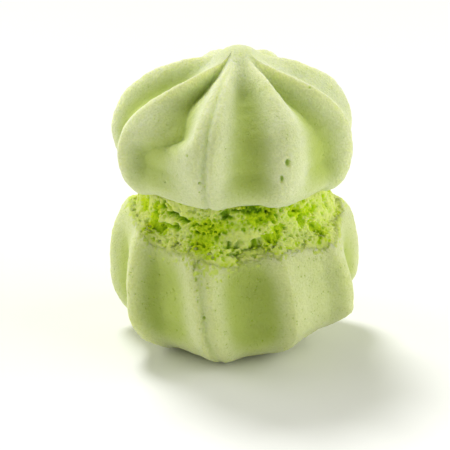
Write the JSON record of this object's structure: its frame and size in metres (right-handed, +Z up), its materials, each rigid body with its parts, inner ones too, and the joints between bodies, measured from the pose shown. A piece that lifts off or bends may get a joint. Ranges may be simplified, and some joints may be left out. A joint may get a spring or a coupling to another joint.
{
  "type": "meringue cookie",
  "caption": "Pale green piped meringue cookie: two ribbed star kisses joined base to base, with a brighter, open, crumbly layer showing between them.",
  "frame": {"origin": "centre of the bounding box's underside, where the cookie's flat foot stands", "axes": "+Z up through the piped tip of the upper kiss, -Y towards the front, where the crumbly middle shows most, +X to the right seen from there"},
  "size_m": [0.0454, 0.0433, 0.0538],
  "materials": {
    "upper_skin": "matt, dry, fine powdery meringue skin",
    "lower_skin": "matt, dry, fine powdery meringue skin with pinholes",
    "crumb": "matt, rough, open crumb of broken meringue"
  },
  "bodies": {
    "root": {"upper_meringue": "upper_skin", "crumb_layer": "crumb", "lower_meringue": "lower_skin"}
  },
  "joints": []
}
